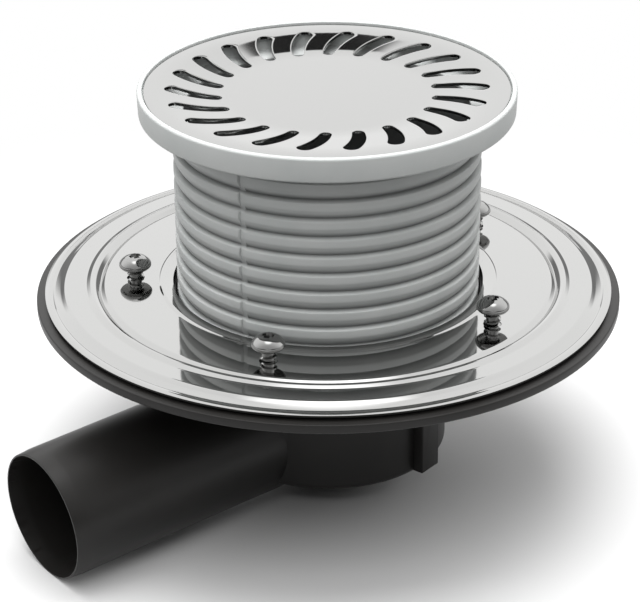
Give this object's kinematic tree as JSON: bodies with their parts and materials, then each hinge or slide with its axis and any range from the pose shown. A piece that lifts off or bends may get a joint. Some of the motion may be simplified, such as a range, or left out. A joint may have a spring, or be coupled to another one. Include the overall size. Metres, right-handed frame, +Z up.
{
  "type": "gully trap",
  "caption": "Floor gully trap: flanged body with a sloping side outlet, clamped membrane ring, sliding ribbed riser, slotted round grate and a lift-out water seal.",
  "frame": {"origin": "centre of the body's flange, on its top face, where the membrane is clamped", "axes": "+Z up along the riser, +X along the outlet seen from above"},
  "size_m": [0.2453, 0.2238, 0.1627],
  "materials": {
    "body_plastic": "moulded black polyethylene",
    "polished_sheet": "mirror polished stainless sheet",
    "screw_steel": "bright stainless screws",
    "riser_plastic": "moulded grey ABS",
    "seal_rubber": "black rubber",
    "grate_steel": "satin stainless sheet",
    "trap_plastic": "moulded light grey polypropylene"
  },
  "bodies": {
    "drain": {"drain_body": "body_plastic", "clamping_ring": "polished_sheet", "clamp_screws": "screw_steel", "riser_seal": "seal_rubber", "trap_tube": "trap_plastic", "trap_cup": "trap_plastic", "trap_seal": "seal_rubber"},
    "extension": {"riser": "riser_plastic", "grate": "grate_steel"}
  },
  "joints": [
    {"name": "riser_slide", "type": "slide", "parent": "drain", "child": "extension", "axis": [0, 0, 1], "range_m": [-0.008, 0.006]}
  ]
}
